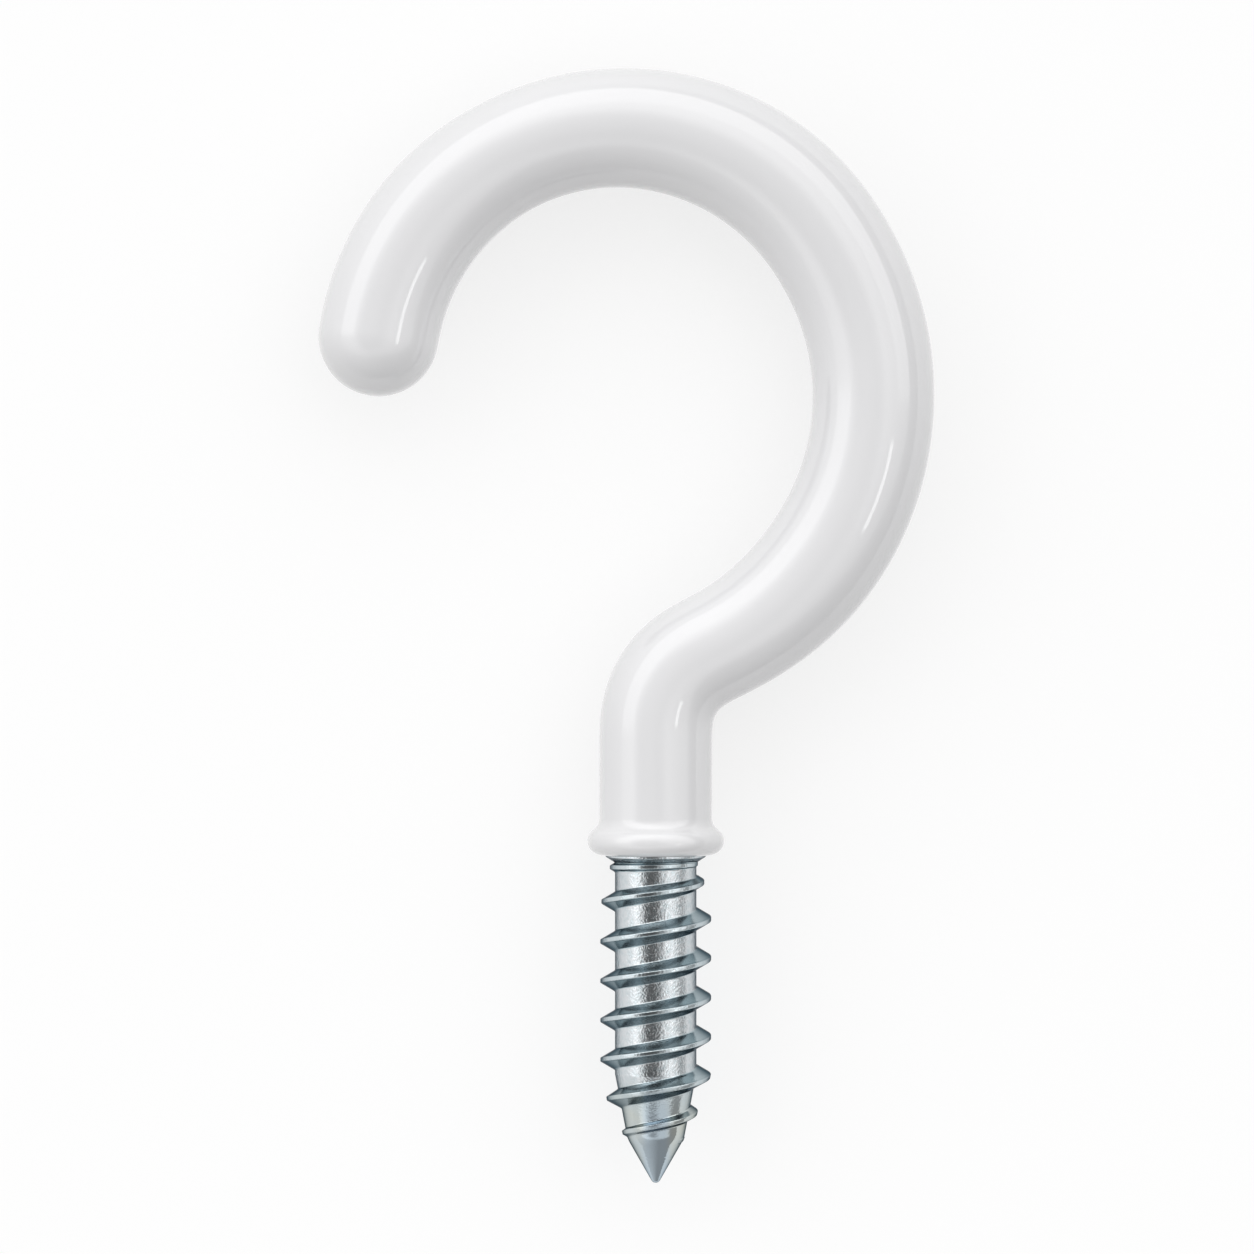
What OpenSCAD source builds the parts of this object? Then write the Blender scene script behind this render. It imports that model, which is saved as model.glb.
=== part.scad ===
// Screw hook with a dipped plastic coat.
// One steel wire is bent into the stem and the bow, and its bare end carries a wood thread.
// A glossy plastic coat covers the stem and the bow, and ends in a bead where the thread starts.
//
// The hook lies on its side, with +Z up. Y is the screw's axis, with the point towards -Y, and
// the origin is on that axis at the seating face of the bead. The bow bulges towards +X.

/* [Wire] */
// Diameter of the bare steel wire
wire_d = 5.4; // [4.8:0.1:5.8]

/* [Stem and bow] */
// Straight stem, from the bead's seating face to the neck bend
stem_l = 6.95; // [4:0.05:20]
// Radius of the neck bend, on the wire's centreline
neck_r = 4.3; // [3.8:0.1:8]
// Angle of the neck bend
neck_a = 63.6; // [45:0.1:75]
// Straight run between the neck bend and the bow
neck_run = 1.1; // [0.8:0.05:6]
// Radius of the bow on its closed side, on the wire's centreline
bow_r = 15; // [12:0.1:24]
// Angle of the bow on its closed side
bow_a = 93.8; // [75:0.1:115]
// Straight run at the bow's crown
crown_run = 0.4; // [0.2:0.1:8]
// Radius of the bow on its open side, on the wire's centreline
nose_r = 13.2; // [10:0.1:20]
// Angle of the bow on its open side
nose_a = 139.7; // [100:0.1:150]
// Straight run ahead of the domed end
tip_run = 0.4; // [0.2:0.1:4]

/* [Coat] */
// Thickness of the coat on the stem
stem_coat = 0.35; // [0.25:0.05:0.5]
// Thickness of the coat on the bow
bow_coat = 0.55; // [0.3:0.05:0.9]
// Gap between the wire and the coat that grips it
coat_gap = 0.02; // [0.01:0.01:0.05]
// Chamfer at the coat's mouth
mouth_chamfer = 0.12; // [0.05:0.01:0.2]
// Width of the bead's flat seat, outside the chamfer
seat_w = 0.11; // [0.05:0.01:0.4]
// Radius of the bead's round edge
bead_r = 0.75; // [0.5:0.01:1]
// Radius of the hollow that leads from the bead to the stem
bead_hollow = 0.8; // [0.4:0.1:2]

/* [Thread] */
// Length from the seating face to the tip of the point
screw_l = 17.7; // [14:0.1:30]
// Diameter over the thread's crests
thread_d = 6; // [5.6:0.1:6.6]
// Diameter of the root between the threads
root_d = 4.4; // [3.8:0.1:4.7]
// Distance from one crest to the next
pitch = 2.13; // [1.8:0.01:2.6]
// Width of a crest
crest_w = 0.18; // [0.1:0.01:0.3]
// Slope of each flank, from the screw's radius
flank_a = 30; // [20:1:35]
// Height of the cone that necks the wire down to the root
neck_down = 0.25; // [0.2:0.05:0.6]
// Direction in which the thread starts, turning from +X to +Z
start_a = 336; // [0:1:359]
// Turns over which the thread rises to its full height
rise_turns = 1.9; // [1.6:0.05:2.4]
// Turns over which the thread fades out towards the point
fade_turns = 1.8; // [1.4:0.1:2.4]
// Turns over which the thread runs in from flat to its full pitch
ease_in = 1.2; // [0.8:0.05:1.4]
// Turns over which the thread runs out from its full pitch to flat
ease_out = 1.2; // [0.8:0.05:1.4]

/* [Point] */
// Length of the slow taper ahead of the point
taper_l = 3.5; // [2:0.1:5]
// Diameter at the wide end of the point
point_d = 3.06; // [2.6:0.02:3.4]
// Half of the point's angle
point_a = 30; // [25:0.1:40]
// Radius of the rounded tip
tip_r = 0.27; // [0.15:0.01:0.4]

/* [Hidden] */
$fn = 96;

// Each row is a straight run, the radius of the bend that follows it and the bend's angle. A
// positive angle turns to the left.
BENDS = [
    [stem_l, neck_r, -neck_a],
    [neck_run, bow_r, bow_a],
    [crown_run, nose_r, nose_a],
    [tip_run, 0, 0]
];
// The straight runs stop this far short of the bends. A ball this much thicker than the bar joins
// them.
JOINT_GAP = 0.05;
JOINT_STEP = 0.005;

wire_r = wire_d / 2;
bore_r = wire_r + coat_gap;
stem_r = wire_r + stem_coat;
bow_coat_r = wire_r + bow_coat;

// The bead's round edge and the hollow above it touch where the line of their centres crosses them
bead_c = [bore_r + mouth_chamfer + seat_w, bead_r];
hollow_x = stem_r + bead_hollow;
bead_h = bead_c.y + sqrt(pow(bead_r + bead_hollow, 2) - pow(hollow_x - bead_c.x, 2));
bead_lean = atan2(bead_h - bead_c.y, hollow_x - bead_c.x);

root_r = root_d / 2;
depth = (thread_d - root_d) / 2;
point_r = point_d / 2;
point_l = point_r / tan(point_a) - tip_r * (1 / sin(point_a) - 1);
skin_end = screw_l - point_l;

// The thread is built from stations along its helix, TURN of them to a turn
TURN = 48;
// Room between the thread's ends and the cones beside them
END_GAP = 0.05;
// The cones stand this much proud of the ends of the thread's skin
CONE_LIP = 0.01;
// Where the thread is nearly flat, the foot of its widening section reaches this far past its crest
function reach(turns, ease) = pow(depth * tan(flank_a) / turns, 2) * ease / (2 * pitch);
first_crest = neck_down + END_GAP + crest_w / 2 + reach(rise_turns, ease_in);
last_crest = skin_end - END_GAP - crest_w / 2 - reach(fade_turns, ease_out);
LAST = floor(((last_crest - first_crest) / pitch + (ease_in + ease_out) / 2) * TURN);

// Pose after one row of the bend table: x, y and heading, where heading 0 runs along +Y
function after(p, row) =
    let (run = row[0], r = row[1] * sign(row[2]), a = p[2] + row[2])
    [
        p.x - run * sin(p[2]) - r * cos(p[2]) + r * cos(a),
        p.y + run * cos(p[2]) - r * sin(p[2]) + r * sin(a),
        a
    ];

// Pose at the start of row i of the bend table
function pose(i) = i == 0 ? [0, 0, 0] : after(pose(i - 1), BENDS[i - 1]);

module at_pose(p) {
    translate([p.x, p.y, 0]) rotate(p[2]) children();
}

// Round bar along +Y, with a radius at each end
module straight(l, r0, r1) {
    rotate([-90, 0, 0]) cylinder(h = l, r1 = r0, r2 = r1);
}

// Round bar that leaves the origin along +Y and bends round
module bend(r, bend_r, a) {
    mirror([a < 0 ? 1 : 0, 0, 0])
        translate([-bend_r, 0, 0])
            rotate_extrude(angle = abs(a))
                translate([bend_r, 0]) circle(r = r);
}

// Sector of a disc between two directions, less than 150 degrees apart
module sector(c, r, a0, a1) {
    far = 2 * r;
    intersection() {
        translate(c) circle(r = r);
        polygon([c, for (a = [a0, (a0 + a1) / 2, a1]) c + far * [cos(a), sin(a)]]);
    }
}

// Half ball that closes a bar at the origin, on the side of +Y
module dome(r) {
    rotate([-90, 0, 0]) rotate_extrude() sector([0, 0], r, 0, 90);
}

// Round bar along the whole bend table, from a height on the stem to the domed end. radii holds
// its radius at the start and after each straight run.
module bent_bar(radii, start) {
    end = len(BENDS) - 1;
    for (i = [0 : end]) {
        run = BENDS[i][0];
        from = i == 0 ? start : JOINT_GAP;
        to = i == end ? run : run - JOINT_GAP;
        at_pose(pose(i)) {
            translate([0, from, 0]) straight(to - from, radii[i], radii[i + 1]);
            if (i > 0)
                sphere(r = radii[i] + JOINT_STEP);
            translate([0, run, 0])
                if (i < end) {
                    sphere(r = radii[i + 1] + JOINT_STEP);
                    bend(radii[i + 1], BENDS[i][1], BENDS[i][2]);
                } else {
                    dome(radii[i + 1]);
                }
        }
    }
}

// Bar of one radius along the whole bend table
module even_bar(r, start) {
    bent_bar([for (i = [0 : len(BENDS)]) r], start);
}

// Half section of the bead: a flat seat, a round edge and a hollow up to the stem
module bead_section() {
    difference() {
        polygon([[0, 0], [bead_c.x, 0], bead_c, [hollow_x, bead_h], [0, bead_h]]);
        translate([hollow_x, bead_h]) circle(r = bead_hollow);
    }
    sector(bead_c, bead_r, -90, bead_lean);
}

module plastic_sleeve() {
    color("white")
        difference() {
            union() {
                bent_bar([stem_r, stem_r, bow_coat_r, bow_coat_r, bow_coat_r], bead_h);
                rotate([-90, 0, 0]) rotate_extrude() bead_section();
            }
            even_bar(bore_r, -mouth_chamfer);
            translate([0, -mouth_chamfer, 0])
                straight(2 * mouth_chamfer, bore_r + 2 * mouth_chamfer, bore_r);
        }
}

// Radius of the screw's core at a depth below the seating face
function core_r(d) =
    root_r + (point_r - root_r) * max(0, 1 - (skin_end - d) / taper_l);

// Height of the thread at a station
function height(i) =
    depth * min(1, i / (rise_turns * TURN), (LAST - i) / (fade_turns * TURN));

// Depth of the crest at a station. Its slope eases from flat to the full pitch, and back at the end.
function crest_d(i) =
    let (t = i / TURN, left = max(0, ease_in - t), past = max(0, t - LAST / TURN + ease_out))
    first_crest + pitch * (t - ease_in / 2 + pow(left, 2) / (2 * ease_in) - pow(past, 2) / (2 * ease_out));

// Point in a station's direction, at a radius and a depth
function around(i, r, d) =
    let (a = start_a + 360 * i / TURN)
    [r * cos(a), -d, r * sin(a)];

// Corners of the thread's section at a station: root, crest, crest and root
function section(i) =
    let (mid = crest_d(i), h = height(i))
    let (top = crest_w / 2, base = top + h * tan(flank_a))
    [
        around(i, core_r(mid - base), mid - base),
        around(i, core_r(mid - top) + h, mid - top),
        around(i, core_r(mid + top) + h, mid + top),
        around(i, core_r(mid + base), mid + base)
    ];

// Number of a station's corner in the skin's list of points
function corner(i, k) = 4 * i + k;

// Skin of the core and its thread. Bands run along the helix, and a ring of points closes each
// end: top() and bottom() number the points of the rings.
module thread_skin() {
    top0 = 4 * (LAST + 1);
    bottom0 = top0 + TURN;
    function top(i) = top0 + i % TURN;
    function bottom(i) = bottom0 + i % TURN;
    points = [
        for (i = [0 : LAST]) each section(i),
        for (i = [0 : TURN - 1]) around(i, root_r, neck_down),
        for (i = [0 : TURN - 1]) around(i, point_r, skin_end)
    ];
    flanks_and_crest = [
        for (i = [0 : LAST - 1], k = [0 : 2])
            [corner(i, k), corner(i, k + 1), corner(i + 1, k + 1), corner(i + 1, k)]
    ];
    root = [
        for (i = [0 : LAST - TURN - 1])
            [corner(i, 3), corner(i + TURN, 0), corner(i + TURN + 1, 0), corner(i + 1, 3)]
    ];
    above = [
        for (i = [0 : TURN - 2]) [top(i), corner(i, 0), corner(i + 1, 0), top(i + 1)],
        [
            corner(TURN - 1, 0), corner(TURN, 0),
            corner(0, 3), corner(0, 2), corner(0, 1), corner(0, 0),
            top(0), top(TURN - 1)
        ]
    ];
    first = LAST - TURN;
    below = [
        for (i = [first + 1 : LAST - 1])
            [corner(i, 3), bottom(i), bottom(i + 1), corner(i + 1, 3)],
        [
            corner(first + 1, 3), corner(first, 3),
            corner(LAST, 0), corner(LAST, 1), corner(LAST, 2), corner(LAST, 3),
            bottom(first), bottom(first + 1)
        ]
    ];
    ends = [
        [for (i = [0 : TURN - 1]) top(i)],
        [for (i = [TURN - 1 : -1 : 0]) bottom(i)]
    ];
    polyhedron(points, concat(flanks_and_crest, root, above, below, ends));
}

// Half section of the point, with its wide end at the origin
module point_section() {
    tip = [0, point_l - tip_r];
    polygon([[0, 0], [point_r + CONE_LIP, 0], tip + tip_r * [cos(point_a), sin(point_a)], tip]);
    sector(tip, tip_r, point_a, 90);
}

module steel_hook() {
    color("lightsteelblue") {
        even_bar(wire_r, 0);
        rotate([90, 0, 0]) {
            cylinder(h = neck_down, r1 = wire_r, r2 = root_r + CONE_LIP);
            translate([0, 0, skin_end]) rotate_extrude() point_section();
        }
        thread_skin();
    }
}

steel_hook();
plastic_sleeve();
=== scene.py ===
import math

import bpy
import numpy as np
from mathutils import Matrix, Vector


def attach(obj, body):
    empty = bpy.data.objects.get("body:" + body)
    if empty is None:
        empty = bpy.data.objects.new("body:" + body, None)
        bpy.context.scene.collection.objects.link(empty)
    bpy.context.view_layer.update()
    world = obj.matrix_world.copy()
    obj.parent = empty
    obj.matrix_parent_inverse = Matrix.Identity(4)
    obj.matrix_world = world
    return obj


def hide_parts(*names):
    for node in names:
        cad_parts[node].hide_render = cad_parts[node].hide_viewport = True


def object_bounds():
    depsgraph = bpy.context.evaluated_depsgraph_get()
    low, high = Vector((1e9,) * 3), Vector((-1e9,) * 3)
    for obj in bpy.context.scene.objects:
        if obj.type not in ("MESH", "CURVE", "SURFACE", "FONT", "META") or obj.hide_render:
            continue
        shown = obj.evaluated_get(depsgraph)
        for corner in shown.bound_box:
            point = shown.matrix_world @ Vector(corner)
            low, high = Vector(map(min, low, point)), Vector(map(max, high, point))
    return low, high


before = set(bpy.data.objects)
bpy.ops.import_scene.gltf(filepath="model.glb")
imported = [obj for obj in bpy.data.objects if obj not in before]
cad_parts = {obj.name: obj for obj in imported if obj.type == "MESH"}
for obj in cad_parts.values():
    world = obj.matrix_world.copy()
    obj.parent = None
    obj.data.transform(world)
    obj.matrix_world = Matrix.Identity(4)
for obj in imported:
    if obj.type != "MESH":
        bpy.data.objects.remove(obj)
CAD_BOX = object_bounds()

MM = 0.001

# ---------------------------------------------------------------- sizes, in millimetres
# The wire's bend table, as in the CAD model: a straight run, the radius of the bend that follows
# it, and the bend's angle in degrees, where a positive angle turns to the left
BENDS = [(6.95, 4.3, -63.6), (1.1, 15.0, 93.8), (0.4, 13.2, 139.7), (0.4, 0.0, 0.0)]
EASE = 1.6          # length over which one bend eases into the next
STEP = 0.02         # step along the centreline

WIRE_R = 2.7
BORE_R = 2.72
MOUTH = 0.12        # chamfer at the coat's mouth
BEAD_X, BEAD_R = 2.95, 0.75
STEM_R = 3.05
HOLLOW_R = 0.8

# The dipped coat along the hook: (length from the seat, outer radius)
COAT = [(0.0, 3.05), (7.5, 3.05), (12.5, 3.03), (14.5, 3.08), (17.0, 3.19), (19.5, 3.27),
        (22.5, 3.30), (27.5, 3.29), (32.5, 3.31), (37.5, 3.34), (42.5, 3.35), (47.5, 3.30),
        (52.5, 3.20), (57.5, 3.16), (62.5, 3.22), (67.5, 3.25), (75.0, 3.25)]
COAT_EASE = 2.0     # length over which the coat's radius eases from row to row
COAT_STEP = 0.2     # distance between the coat's rings
COAT_SEGMENTS = 128

SCREW_L = 17.7
ROOT_R = 2.2
THREAD_R = 3.0      # over the crests
CREST_W = 0.21
FLANK = math.tan(math.radians(30))
NECK_RUN = 0.10     # the wire keeps its full radius this far under the seat, then cones down
NECK_DOWN = 0.42
START_A = 242.0
TAPER_L, POINT_R, POINT_A, TIP_R = 3.5, 1.53, math.radians(30), 0.27
POINT_L = POINT_R / math.tan(POINT_A) - TIP_R * (1 / math.sin(POINT_A) - 1)
SKIN_END = SCREW_L - POINT_L
# The thread's crest, from where it runs out of the neck to where it dies away at the top of the
# point: turns from its start, depth under the seat and height over the root. In between it is an
# even helix.
CREST = [(-0.80, 0.40, 0.00), (-0.67, 0.46, 0.08), (-0.42, 0.55, 0.22), (-0.17, 0.65, 0.28),
         (0.08, 0.98, 0.33), (0.33, 1.45, 0.42), (0.58, 1.96, 0.58), (0.83, 2.48, 0.75),
         (1.08, 3.00, 0.79), (1.33, 3.53, 0.80), (5.33, 12.03, 0.79), (5.58, 12.55, 0.77),
         (5.83, 13.09, 0.72), (6.08, 13.58, 0.60), (6.33, 14.02, 0.46), (6.58, 14.48, 0.33),
         (6.83, 14.93, 0.21), (7.08, 15.22, 0.12), (7.28, 15.41, 0.05), (7.42, 15.50, 0.00)]
CREST_EASE = 0.15   # turns over which the table of crests is smoothed
CREST_STEP = 0.01   # turns between its points
MOST_TURNS = 9      # more turns than the thread has
SKEW = 0.09         # the thread is rolled this much out of square, towards -X
SKEW_TURNS = (0.3, 1.3)     # turns over which that sets in

# Lengths over which corners of the screw are rounded
CONE_ROUND = 0.10   # where the taper meets the point
CREST_ROUND = 0.05  # where a flank meets the crest
ROOT_ROUND = 0.07   # where a flank meets the root
NECK_ROUND = 0.04   # where the neck meets the root and the thread
# How far from the root the flank's look begins, and from the crest the crest's
FLANK_RISE, CREST_RISE, CREST_LEAD, CREST_LEAST = 0.06, 0.05, 1.6, 0.1

SCREW_SEGMENTS = 150
SCREW_STEP = 0.03   # distance between the screw's rings
SCREW_DOWN = 15.75  # depth down to which the thread's formula is used
NORMAL_STEP = 0.004, 0.15   # steps for its slopes, in millimetres and degrees


# ---------------------------------------------------------------- the centreline
def centreline():
    """Length, place and heading along the wire's centreline from the seat, in mm and radians. The
    bends ease into each other over EASE."""
    total = sum(run + radius * math.radians(abs(turn)) for run, radius, turn in BENDS)
    s = np.arange(0, total + STEP / 2, STEP)
    bend = np.zeros_like(s)
    at = 0.0
    for run, radius, turn in BENDS:
        at += run
        if turn:
            arc = radius * math.radians(abs(turn))
            bend[(s >= at) & (s < at + arc)] = math.copysign(1 / radius, turn)
            at += arc
    bend = smooth(bend, int(round(EASE / STEP)) | 1)
    mid = np.concatenate([[0.0], (bend[1:] + bend[:-1]) / 2 * STEP])
    a = np.cumsum(mid)
    half = np.concatenate([[0.0], (a[1:] + a[:-1]) / 2])
    x = np.cumsum(-np.sin(half) * STEP * (np.arange(len(s)) > 0))
    y = np.cumsum(np.cos(half) * STEP * (np.arange(len(s)) > 0))
    return s, x, y, a


def smooth(value, n):
    """A row of values, with each put in the mean of the n round it, twice over."""
    for _ in range(2):
        value = np.convolve(np.pad(value, n // 2, mode="edge"), np.ones(n) / n, mode="valid")
    return value


def smooth_table(table, grid, ease, step=0.05):
    """A table's values on a grid, with its corners rounded over a stretch of it."""
    wide = np.arange(grid[0] - ease, grid[-1] + ease, step)
    value = np.interp(wide, [p[0] for p in table], [p[1] for p in table])
    return np.interp(grid, wide, smooth(value, int(ease / step) | 1))


LINE = centreline()
LENGTH = float(LINE[0][-1])


def at(length):
    """x, y and heading at a length from the seat. Before the seat and past the end it runs
    straight."""
    s, x, y, a = LINE
    inside = min(max(length, 0.0), LENGTH)
    heading = float(np.interp(inside, s, a))
    over = length - inside
    return (
        float(np.interp(inside, s, x)) - over * math.sin(heading),
        float(np.interp(inside, s, y)) + over * math.cos(heading),
        heading,
    )


def ring_mesh(name, rings, segments, towards_tip):
    """A closed skin through rings across the centreline. Each ring is (length, radius), where the
    radius is one number or one for each segment. The first and the last ring are single points."""
    phi = np.arange(segments) * 2 * math.pi / segments
    verts = []
    for length, radius in rings:
        x, y, a = at(length)
        if np.isscalar(radius) and radius == 0:
            verts.append(np.array([[x, y, 0.0]]))
            continue
        across = radius * np.cos(phi)
        verts.append(np.stack(
            [x + across * math.cos(a), y + across * math.sin(a), radius * np.sin(phi)], axis=1))
    start = np.cumsum([0] + [len(v) for v in verts])
    faces = []
    for j in range(len(rings) - 1):
        lo, hi = len(verts[j]), len(verts[j + 1])
        for i in range(segments):
            k = (i + 1) % segments
            a = start[j] + (i if lo > 1 else 0)
            b = start[j + 1] + (i if hi > 1 else 0)
            c = start[j + 1] + (k if hi > 1 else 0)
            d = start[j] + (k if lo > 1 else 0)
            f = (a, b, c, d)
            if lo == 1:
                f = (a, b, c)
            elif hi == 1:
                f = (a, b, d)
            faces.append(tuple(int(v) for v in (f if towards_tip else reversed(f))))
    mesh = bpy.data.meshes.new(name)
    mesh.from_pydata((np.vstack(verts) * MM).tolist(), [], faces)
    mesh.update()
    mesh.polygons.foreach_set("use_smooth", [True] * len(mesh.polygons))
    obj = bpy.data.objects.new(name, mesh)
    bpy.context.scene.collection.objects.link(obj)
    return obj


# ---------------------------------------------------------------- the dipped plastic coat
def arc(cx, cy, r, a0, a1, n):
    """Points (radius, length) along an arc about (cx, cy), with angles in degrees from the
    radius."""
    angles = [math.radians(a0 + (a1 - a0) * i / n) for i in range(n + 1)]
    return [(cx + r * math.cos(a), cy + r * math.sin(a)) for a in angles]


def dome(r, angles):
    """Rings of a half ball of radius r on the end of the centreline, at angles up from its rim."""
    return [(LENGTH + r * math.sin(t), r * math.cos(t)) for t in angles]


def coat():
    hollow_x = STEM_R + HOLLOW_R
    bead_h = BEAD_R + math.sqrt((BEAD_R + HOLLOW_R) ** 2 - (hollow_x - BEAD_X) ** 2)
    lean = math.degrees(math.atan2(bead_h - BEAD_R, hollow_x - BEAD_X))
    # the bore, from its domed end to the mouth
    rings = [(LENGTH + BORE_R, 0.0)]
    rings += dome(BORE_R, np.linspace(math.pi / 2, 0, 13)[1:])
    rings += [(s, BORE_R) for s in np.arange(LENGTH - 0.6, 0.7, -0.6)]
    # the mouth: chamfer, flat seat and the bead's round edge, each corner eased
    mouth = [(BORE_R, MOUTH + 0.12), (BORE_R, MOUTH + 0.02), (BORE_R + 0.02, MOUTH - 0.015)]
    mouth += [(BORE_R + MOUTH - 0.02, 0.012), (BORE_R + MOUTH + 0.01, 0.0), (BEAD_X, 0.0)]
    mouth += arc(BEAD_X, BEAD_R, BEAD_R, -90, lean, 30)[1:]
    mouth += arc(hollow_x, bead_h, HOLLOW_R, 180 + lean, 180, 16)[1:]
    rings += [(y, x) for x, y in mouth]
    # the outside, up the stem and round the bow to its domed end
    run = np.arange(bead_h + COAT_STEP, LENGTH - 0.05, COAT_STEP)
    rings += list(zip(run.tolist(), smooth_table(COAT, run, COAT_EASE).tolist()))
    end_r = COAT[-1][1]
    rings += dome(end_r, np.linspace(0, math.pi / 2, 41)[:-1])
    rings.append((LENGTH + end_r, 0.0))
    return ring_mesh("plastic_coat", rings, COAT_SEGMENTS, True)


# ---------------------------------------------------------------- the steel wire, thread and point
def soft_max(a, b, k):
    """The larger of two heights, with the corner between them rounded over k."""
    h = np.clip(0.5 + (a - b) / (2 * k), 0, 1)
    return b + (a - b) * h + k * h * (1 - h)


def soft_min(a, b, k):
    return -soft_max(-a, -b, k)


CREST_T = np.arange(CREST[0][0], CREST[-1][0] + CREST_STEP / 2, CREST_STEP)
CREST_D = smooth_table([(c[0], c[1]) for c in CREST], CREST_T, CREST_EASE, CREST_STEP)
CREST_H = smooth_table([(c[0], c[2]) for c in CREST], CREST_T, CREST_EASE, CREST_STEP)


def screw_radius(d, phi):
    """Radius of the screw at a depth below the seat, for each direction phi in degrees, and which
    part of it that is: 0 on the root, 1 on the thread's flanks and 2 on its crest."""
    taper = ROOT_R + (POINT_R - ROOT_R) * max(1 - (SKIN_END - d) / TAPER_L, 0)
    cut = POINT_R - (d - SKIN_END) * math.tan(POINT_A)
    root = float(soft_min(taper, cut, CONE_ROUND))
    cone = WIRE_R + (ROOT_R - WIRE_R) * max(d - NECK_RUN, 0) / (NECK_DOWN - NECK_RUN)
    turn = (phi - START_A) / 360.0
    skew = SKEW * np.cos(np.radians(phi))
    best, top = np.full_like(phi, -1.0), np.zeros_like(phi)
    for k in range(MOST_TURNS):
        t = turn + k
        depth = np.interp(t, CREST_T, CREST_D) - skew * np.interp(t, SKEW_TURNS, (0, 1))
        height = np.interp(t, CREST_T, CREST_H, left=0, right=0)
        away = np.abs(d - depth)
        flank = np.where(height > 0, height + (CREST_W / 2 - away) / FLANK, -1.0)
        ridge = soft_min(flank, height, CREST_ROUND)
        top = np.where(ridge > best, height, top)
        best = np.maximum(best, ridge)
    r = soft_max(root + best, np.full_like(phi, root), ROOT_ROUND)
    on_flank = np.clip((r - root) / FLANK_RISE, 0, 1)
    on_crest = np.clip((r - root - top) / CREST_RISE + CREST_LEAD, 0, 1) * (top > CREST_LEAST)
    return soft_max(r, np.full_like(phi, max(cone, 0.0)), NECK_ROUND), on_flank + on_crest


def screw_normals(d, phi):
    """Normals of the screw's surface at a depth, from the slopes of its radius."""
    step, turn = NORMAL_STEP
    a = np.radians(phi)
    r = screw_radius(d, phi)[0]
    along = (screw_radius(d + step, phi)[0] - screw_radius(d - step, phi)[0]) / (2 * step)
    ahead, behind = screw_radius(d, phi + turn)[0], screw_radius(d, phi - turn)[0]
    round_it = (ahead - behind) / (2 * math.radians(turn))
    n = np.stack([np.cos(a) + round_it / r * np.sin(a), along,
                  np.sin(a) - round_it / r * np.cos(a)], axis=1)
    return n / np.linalg.norm(n, axis=1)[:, None]


def steel():
    phi = np.arange(SCREW_SEGMENTS) * 360.0 / SCREW_SEGMENTS
    # the wire inside the coat
    rings = [(LENGTH + WIRE_R, 0.0)]
    rings += dome(WIRE_R, np.linspace(math.pi / 2, 0, 9)[1:])
    rings += [(s, WIRE_R) for s in np.arange(LENGTH - 1.0, 0.9, -1.0)]
    rings += [(0.3, WIRE_R), (0.05, WIRE_R)]
    relief = [np.ones(1)] + [np.ones(SCREW_SEGMENTS) for _ in rings[1:]]
    first = sum(len(r) for r in relief)
    # the thread
    normals = []
    for d in np.arange(0.0, SCREW_DOWN, SCREW_STEP):
        r, thread = screw_radius(d, phi)
        rings.append((-d, np.minimum(r, THREAD_R)))
        relief.append(thread)
        normals.append(screw_normals(d, phi))
    # the cone and the rounded tip
    tip_y = SCREW_L - TIP_R
    cone_end = tip_y + TIP_R * math.sin(POINT_A)
    point = [(-d, POINT_R - (d - SKIN_END) * math.tan(POINT_A))
             for d in np.linspace(-rings[-1][0] + 2 * SCREW_STEP, cone_end, 28)]
    point += [(-(tip_y + TIP_R * math.sin(t)), TIP_R * math.cos(t))
              for t in np.linspace(POINT_A, math.pi / 2, 10)[1:-1]]
    rings += point + [(-SCREW_L, 0.0)]
    relief += [np.zeros(SCREW_SEGMENTS) for _ in point] + [np.zeros(1)]
    obj = ring_mesh("zinc_steel", rings, SCREW_SEGMENTS, False)
    layer = obj.data.attributes.new("thread", "FLOAT", "POINT")
    layer.data.foreach_set("value", np.concatenate(relief).astype(np.float32))
    every = np.zeros((len(obj.data.vertices), 3))
    formula = np.vstack(normals)
    every[first:first + len(formula)] = formula
    obj.data.normals_split_custom_set_from_vertices(every.tolist())
    return obj


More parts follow.
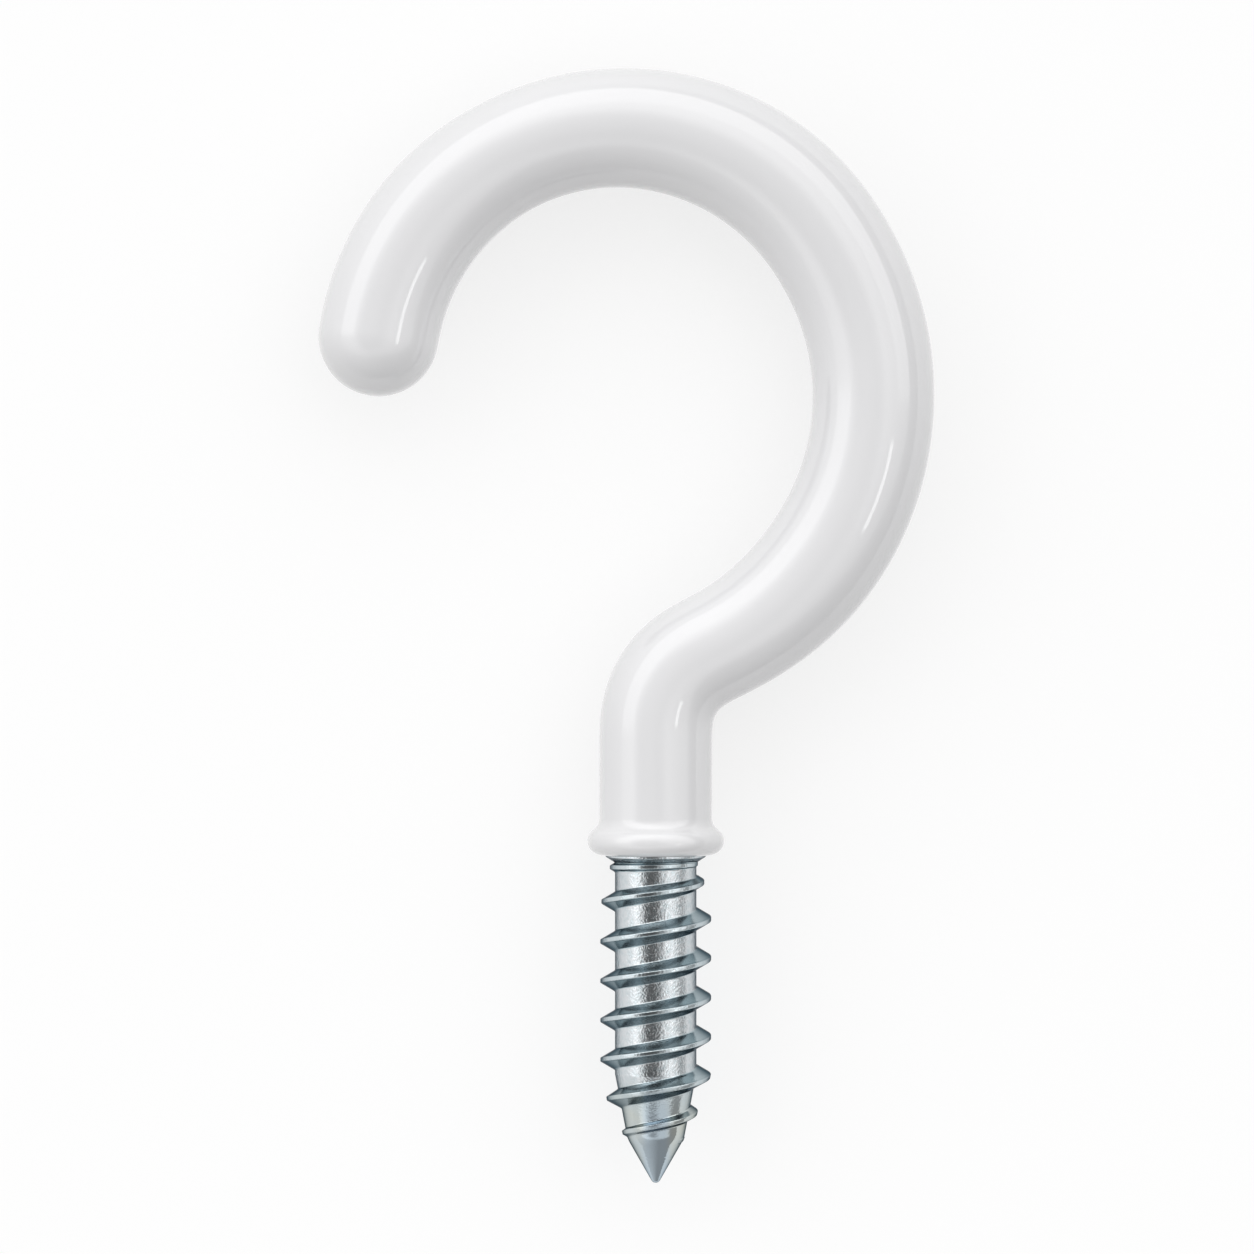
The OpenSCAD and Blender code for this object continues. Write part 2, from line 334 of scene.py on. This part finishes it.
# ---------------------------------------------------------------- shader nodes
class Graph:
    """Short calls that build the node tree of a material or a world. A value is a number, a
    colour or another node's output."""

    def __init__(self, owner):
        owner.use_nodes = True
        self.nodes, self.links = owner.node_tree.nodes, owner.node_tree.links

    def put(self, socket, value):
        if isinstance(value, bpy.types.NodeSocket):
            self.links.new(value, socket)
        else:
            socket.default_value = value

    def fill(self, node, inputs):
        for key, value in inputs.items():
            self.put(node.inputs[key], value)

    def add(self, kind, inputs=None, **settings):
        """A new node. Its settings come first, as they decide which inputs it has."""
        node = self.nodes.new(kind)
        for key, value in settings.items():
            setattr(node, key, value)
        self.fill(node, inputs or {})
        return node

    def math(self, operation, *values):
        node = self.add("ShaderNodeMath", operation=operation)
        for i, value in enumerate(values):
            self.put(node.inputs[i], value)
        return node.outputs["Value"]

    def plus(self, a, b):
        return self.math("ADD", a, b)

    def minus(self, a, b):
        return self.math("SUBTRACT", a, b)

    def times(self, a, b):
        return self.math("MULTIPLY", a, b)

    def most(self, a, b):
        return self.math("MAXIMUM", a, b)

    def size(self, a):
        return self.math("ABSOLUTE", a)

    def between(self, low, high, share):
        return self.plus(low, self.times(self.minus(high, low), share))

    def step(self, value, low, high):
        """0 where value is under low, 1 where it is over high, smooth between. low may be over
        high."""
        return self.add("ShaderNodeMapRange", {"Value": value, "From Min": low, "From Max": high},
                        interpolation_type="SMOOTHSTEP").outputs["Result"]

    def noise(self, place, scale, detail):
        return self.add("ShaderNodeTexNoise", {"Vector": place, "Scale": scale, "Detail": detail}
                        ).outputs["Fac"]

    def ramp(self, value, *stops):
        node = self.add("ShaderNodeValToRGB", {"Fac": value})
        for element, (position, colour) in zip(node.color_ramp.elements, stops):
            element.position, element.color = position, colour
        return node.outputs["Color"]

    def blend(self, share, a, b):
        return self.add("ShaderNodeMix", {"Factor": share, "A": a, "B": b}, data_type="RGBA"
                        ).outputs["Result"]

    def bump(self, height, strength, distance):
        return self.add("ShaderNodeBump",
                        {"Height": height, "Strength": strength, "Distance": distance}
                        ).outputs["Normal"]


def material(name):
    m = bpy.data.materials.new(name)
    graph = Graph(m)
    return m, graph, graph.nodes["Principled BSDF"]


# ---------------------------------------------------------------- materials
def white_plastic():
    m, graph, bsdf = material("white_plastic")
    place = graph.add("ShaderNodeTexCoord").outputs["Object"]
    cloud = graph.noise(place, 90.0, 3.0)
    # the slow waves of a dipped coat
    waves = graph.noise(place, 260.0, 1.0)
    graph.fill(bsdf, {
        "Base Color": graph.ramp(cloud, (0.35, (0.862, 0.860, 0.871, 1)),
                                 (0.65, (0.876, 0.874, 0.885, 1))),
        "Normal": graph.bump(waves, 0.25, 0.00003),
        "Roughness": 0.04,
        "IOR": 1.5,
        "Coat Weight": 1.0,
        "Coat Roughness": 0.02,
        "Coat IOR": 1.5,
    })
    return m


# Where along Y the zinc goes from the thread's look to the point's, in metres
POINT_LOOK = -0.0115, -0.0145
# How far to the side the point's straw tint begins and is whole. On the sides it is a painted
# reflection, lighter stripes along the point
PAINTED_SHEEN_SIDE = 0.0004, 0.0010
# Y of the ring where the die closed on the point, and half its width
DIE_RING, DIE_RING_W = -0.0163, 0.00007
BLUISH, PALE = (0.52, 0.60, 0.63, 1), (0.66, 0.69, 0.71, 1)
# STRAW_AND_SHEEN is partly the passivation's straw colour and partly a painted reflection, the
# lighter stripes on the point's sides
POINT_BLUE, STRAW_AND_SHEEN = (0.48, 0.56, 0.62, 1), (0.66, 0.63, 0.49, 1)


def zinc():
    """Bright zinc plate. The root keeps the mottle of the rolled blank, the thread is smooth, and
    the passivated skin turns blue towards the point. The point's left and right sides get a straw
    colour that is partly the skin's own tint and partly a painted reflection."""
    m, graph, bsdf = material("zinc_plated_steel")
    plus, minus, times, most = graph.plus, graph.minus, graph.times, graph.most
    place = graph.add("ShaderNodeTexCoord").outputs["Object"]
    split = graph.add("ShaderNodeSeparateXYZ", {"Vector": place})
    x, y = split.outputs["X"], split.outputs["Y"]

    # which part of the screw this is: each is 1 there and 0 elsewhere
    thread = graph.add("ShaderNodeAttribute", attribute_name="thread").outputs["Fac"]
    root = most(minus(1.0, thread), 0.0)
    flank = most(minus(1.0, graph.size(minus(thread, 1.0))), 0.0)
    crest = most(minus(thread, 1.0), 0.0)
    near = graph.step(y, *POINT_LOOK)

    dents = graph.noise(place, 3200.0, 2.0)
    grain = graph.noise(place, 9000.0, 3.0)
    fine = graph.noise(place, 14000.0, 2.0)
    rolled = times(plus(root, times(crest, 0.6)), minus(1.0, times(near, 0.85)))
    mottle = plus(times(dents, 1.5), times(grain, 2.0))
    height = plus(times(mottle, rolled), times(fine, 0.02))
    ring = graph.add("ShaderNodeMapRange", {"Value": graph.size(minus(y, DIE_RING)),
                                            "From Min": DIE_RING_W, "From Max": 0.0})
    height = minus(height, times(ring.outputs["Result"], 0.3))

    # straw tint with painted reflection: only near the point, and on its sides (along X) more than
    # on its face, where it paints lighter reflection stripes down the point's sides
    painted_sheen_side = graph.step(graph.size(x), *PAINTED_SHEEN_SIDE)
    straw_and_painted_sheen = times(times(near, painted_sheen_side), times(graph.noise(place, 700.0, 2.0), 0.7))
    tint = graph.ramp(times(plus(dents, 0.12), rolled), (0.2, BLUISH), (0.7, PALE))
    rough = graph.add("ShaderNodeMapRange", {"Value": grain, "To Min": 0.04, "To Max": 0.12})
    graph.fill(bsdf, {
        "Base Color": graph.blend(straw_and_painted_sheen, graph.blend(near, tint, POINT_BLUE), STRAW_AND_SHEEN),
        "Normal": graph.bump(height, 1.0, 0.000013),
        "Roughness": plus(rough.outputs["Result"], times(flank, 0.09)),
        "Metallic": 1.0,
        "Specular Tint": (0.08, 0.10, 0.12, 1),
    })
    return m


def dress(obj, mat):
    obj.data.materials.clear()
    obj.data.materials.append(mat)


coat_obj = coat()
dress(coat_obj, white_plastic())
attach(coat_obj, "root")
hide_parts("plastic_sleeve")

steel_obj = steel()
dress(steel_obj, zinc())
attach(steel_obj, "root")
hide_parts("steel_hook")

# ---------------------------------------------------------------- floor
FLOOR_Z = CAD_BOX[0].z
FLOOR_SIDE = 3.0    # half of the floor's width, in metres
FLOOR_GREY = 0.26
FLOOR_GLOW = 0.755

floor_mesh = bpy.data.meshes.new("floor")
corners = (-1, -1), (1, -1), (1, 1), (-1, 1)
floor_mesh.from_pydata(
    [(x * FLOOR_SIDE, y * FLOOR_SIDE, FLOOR_Z) for x, y in corners], [], [(0, 1, 2, 3)])
floor = bpy.data.objects.new("floor", floor_mesh)
bpy.context.scene.collection.objects.link(floor)


def floor_material():
    """A white floor that keeps the hook's shadow. What the camera and reflections see of it gets
    a little light of its own, so that its open part is white."""
    m, graph, bsdf = material("floor_white")
    graph.fill(bsdf, {"Base Color": (FLOOR_GREY, FLOOR_GREY, FLOOR_GREY, 1), "Roughness": 1.0,
                      "Specular IOR Level": 0.0})
    path = graph.add("ShaderNodeLightPath").outputs
    seen = graph.most(path["Is Camera Ray"], path["Is Glossy Ray"])
    seen = graph.most(seen, path["Is Transmission Ray"])
    glow = graph.add("ShaderNodeEmission",
                     {"Color": (1, 1, 1, 1), "Strength": graph.times(seen, FLOOR_GLOW)})
    add = graph.add("ShaderNodeAddShader")
    graph.put(add.inputs[0], bsdf.outputs["BSDF"])
    graph.put(add.inputs[1], glow.outputs["Emission"])
    graph.put(graph.nodes["Material Output"].inputs["Surface"], add.outputs["Shader"])
    return m


floor.data.materials.append(floor_material())

# ---------------------------------------------------------------- light
# Heights are the z of a direction. The walls are lit by height: dimmer under their foot, brighter
# over it. Light from high and from low on them: its mean, and how it grows towards +Y and +X
HIGH_WALL = (1.12, 0.19, -0.18)
LOW_WALL = (0.62, 0.15, -0.40)
LOW_LEAST = 0.4     # the low walls are nowhere darker than this
# Height of the bright walls' foot, and how much higher it is on the right, the left and at -Y
FOOT, FOOT_RIGHT, FOOT_LEFT, FOOT_SOUTH = 0.211, 0.131, 0.07, 0.5
FOOT_EDGE = 0.015   # half of the foot's blur
SOUTH_BLUR = 0.15   # more of it at -Y
SIDE_FALL = 1.5     # how fast right, left and south fall off round the horizon
BAND = 0.48         # extra light of the strip that runs round the +Y half of the high walls
BAND_NORTH = -0.03, 0.06
BAND_TOP = 0.738, 0.678
CEILING = 0.12      # light of the dark patch overhead, which leans towards -X
CEILING_LEAN = 0.22
CEILING_EDGE = 0.80, 1.00
# Small lamps on the right: range of height, range towards +Y, and strength
LAMPS = [((0.72, 0.79), (-0.42, -0.10), 2.2)]
LAMP_EDGE = 0.006, 0.02     # their blur in height and towards +Y
LAMP_SIDE = 0.5, 0.6


def studio():
    """A soft studio round the hook: walls of pale light, brightest behind the bow (+Y) and on the
    left (-X), under a dark patch overhead."""
    world = bpy.data.worlds.new("studio")
    bpy.context.scene.world = world
    graph = Graph(world)
    plus, minus, times, most, step = graph.plus, graph.minus, graph.times, graph.most, graph.step

    view = graph.add("ShaderNodeTexCoord").outputs["Generated"]
    x, y, z = (graph.add("ShaderNodeSeparateXYZ", {"Vector": view}).outputs[k] for k in "XYZ")
    flat = graph.math("SQRT", plus(times(x, x), most(times(y, y), 1e-8)))
    east, north = graph.math("DIVIDE", x, flat), graph.math("DIVIDE", y, flat)

    def side(value):
        return graph.math("POWER", most(value, 0.0), SIDE_FALL)

    def towards(mean, to_north, to_east):
        return plus(mean, plus(times(north, to_north), times(east, to_east)))

    def within(value, low, high, edge):
        return times(step(value, low - edge, low + edge), step(value, high + edge, high - edge))

    right, left, south = side(east), side(times(east, -1.0)), side(times(north, -1.0))
    strip = times(step(north, *BAND_NORTH), step(z, *BAND_TOP))
    low = most(towards(*LOW_WALL), LOW_LEAST)
    high = plus(towards(*HIGH_WALL), times(strip, BAND))
    foot = plus(plus(FOOT, times(right, FOOT_RIGHT)),
                plus(times(left, FOOT_LEFT), times(south, FOOT_SOUTH)))
    blur = plus(FOOT_EDGE, times(south, SOUTH_BLUR))
    walls = graph.between(low, high, step(z, minus(foot, FOOT_EDGE), plus(foot, blur)))
    lean = minus(z, times(x, CEILING_LEAN))
    level = graph.between(walls, CEILING, step(lean, *CEILING_EDGE))
    on_right = step(east, *LAMP_SIDE)
    for heights, norths, gain in LAMPS:
        pane = times(within(z, *heights, LAMP_EDGE[0]), within(north, *norths, LAMP_EDGE[1]))
        level = plus(level, times(times(pane, on_right), gain))
    graph.fill(graph.nodes["Background"], {"Color": (1.0, 1.0, 1.0, 1), "Strength": level})


studio()

# ---------------------------------------------------------------- camera
CENTRE = Vector((-1.55, 12.3, 0.0)) * MM
FRAME_WIDTH = 67.7 * MM

camera_data = bpy.data.cameras.new("camera")
camera_data.lens = 150
camera_data.sensor_width = 36
camera = bpy.data.objects.new("camera", camera_data)
distance = FRAME_WIDTH * camera_data.lens / camera_data.sensor_width
camera.location = CENTRE + Vector((0, 0, distance))
camera.rotation_euler = (0, 0, 0)
bpy.context.scene.collection.objects.link(camera)
bpy.context.scene.camera = camera

bpy.context.scene.view_settings.view_transform = "Standard"

bpy.context.view_layer.update()
